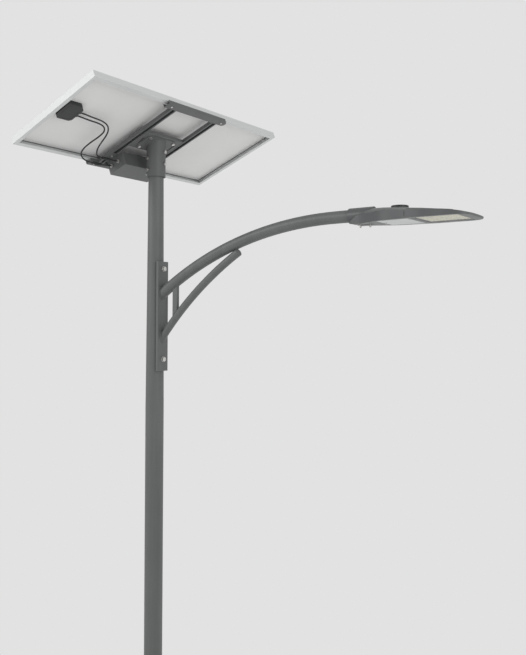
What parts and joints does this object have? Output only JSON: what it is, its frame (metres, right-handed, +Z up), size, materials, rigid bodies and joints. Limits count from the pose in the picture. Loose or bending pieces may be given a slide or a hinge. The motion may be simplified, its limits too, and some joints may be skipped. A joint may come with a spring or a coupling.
{
  "type": "solar street lamp",
  "caption": "Solar street lamp: tapered round pole with a curved braced arm, a flat LED lantern, and a tilted framed solar panel on a clamped swivel sleeve with a battery box under it.",
  "frame": {"origin": "on the pole's axis at the underside of the base plate, at ground level", "axes": "+Z up the pole, +X along the arm towards the lantern, +Y along the panel's long side"},
  "size_m": [2.2143, 1.48, 4.8527],
  "materials": {
    "pole_paint": "dark grey polyester powder coat, satin, very fine texture",
    "carrier_paint": "dark grey powder coat on folded steel, satin",
    "box_paint": "dark grey powder coat on sheet steel, satin",
    "zinc_steel": "bright zinc-plated steel fasteners",
    "frame_aluminium": "clear anodised aluminium extrusion, matt",
    "panel_glass": "low-iron textured solar glass",
    "solar_cell": "dark blue-black monocrystalline silicon under encapsulant",
    "backsheet_white": "off-white polymer backsheet, matt",
    "black_plastic": "black moulded plastic, fine texture",
    "cable_black": "black double-insulated solar cable",
    "lantern_body": "die-cast aluminium in dark grey powder coat",
    "lantern_silver": "silver-grey powder-coated aluminium cover",
    "optic_glass": "clear toughened glass",
    "gasket_rubber": "black silicone",
    "led_board": "white-grey solder resist on aluminium board",
    "led_phosphor": "yellow phosphor LED package",
    "driver_case": "natural aluminium case",
    "battery_wrap": "blue heat-shrink wrap",
    "controller_case": "black anodised finned case"
  },
  "bodies": {
    "pole": {"pole_shaft": "pole_paint", "base_plate": "pole_paint", "base_gussets": "pole_paint", "arm_bracket": "pole_paint", "bracket_bolts": "zinc_steel", "bracket_washers": "zinc_steel", "bracket_nuts": "zinc_steel", "arm_tube": "pole_paint", "brace_tube": "pole_paint", "arm_strut": "pole_paint", "spigot_collar": "lantern_body", "collar_set_screws": "zinc_steel"},
    "panel_head": {"frame_long_sides": "frame_aluminium", "frame_short_ends": "frame_aluminium", "panel_glass": "panel_glass", "solar_cells": "solar_cell", "backsheet": "backsheet_white", "cross_channels": "carrier_paint", "carrier_rails": "carrier_paint", "panel_clamp_bolts": "zinc_steel", "panel_clamp_nuts": "zinc_steel", "mounting_plate": "carrier_paint", "sleeve_flange": "carrier_paint", "flange_bolts": "zinc_steel", "flange_nuts": "zinc_steel", "plate_side_screws": "zinc_steel", "swivel_sleeve": "carrier_paint", "sleeve_screws": "zinc_steel", "earth_screw": "zinc_steel", "battery_box": "box_paint", "battery_box_lid": "box_paint", "box_lid_screws": "zinc_steel", "box_mount_screws": "zinc_steel", "box_channel_nuts": "zinc_steel", "battery_pack": "battery_wrap", "charge_controller": "controller_case", "box_gland_rings": "zinc_steel", "junction_box_base": "black_plastic", "junction_box_lid": "black_plastic", "junction_box_glands": "black_plastic", "bypass_diodes": "black_plastic", "panel_lead_a": "cable_black", "panel_lead_b": "cable_black", "box_lead_a": "cable_black", "box_lead_b": "cable_black", "connector_plugs": "black_plastic", "connector_sockets": "black_plastic"},
    "lantern": {"lantern_housing": "lantern_body", "tilt_bolt": "zinc_steel", "optic_gasket": "gasket_rubber", "optic_glass": "optic_glass", "led_board": "led_board", "led_chips": "led_phosphor", "led_driver": "driver_case", "terminal_block": "black_plastic", "cover_hinge_pins": "zinc_steel", "photocell_socket": "black_plastic"},
    "gear_cover": {"gear_cover": "lantern_silver"},
    "cover_latch": {"cover_latch": "zinc_steel"},
    "photocell_cap": {"photocell_cap": "black_plastic"}
  },
  "joints": [
    {"name": "panel_swivel", "type": "hinge", "parent": "pole", "child": "panel_head", "pos_m": [0, 0, 4.57], "axis": [0, 0, 1], "range_deg": [-180, 180]},
    {"name": "lantern_tilt", "type": "hinge", "parent": "pole", "child": "lantern", "pos_m": [1.422, 0, 4.172], "axis": [0, -1, 0], "range_deg": [0, 15]},
    {"name": "gear_cover_hinge", "type": "hinge", "parent": "lantern", "child": "gear_cover", "pos_m": [1.611, 0, 4.132], "axis": [0, -1, 0], "range_deg": [0, 90]},
    {"name": "cover_latch_turn", "type": "hinge", "parent": "gear_cover", "child": "cover_latch", "pos_m": [1.463, 0, 4.127], "axis": [0, 0, 1], "range_deg": [0, 90]},
    {"name": "photocell_twist", "type": "hinge", "parent": "lantern", "child": "photocell_cap", "pos_m": [1.53, 0, 4.2], "axis": [0, 0, 1], "range_deg": [0, 35]}
  ]
}
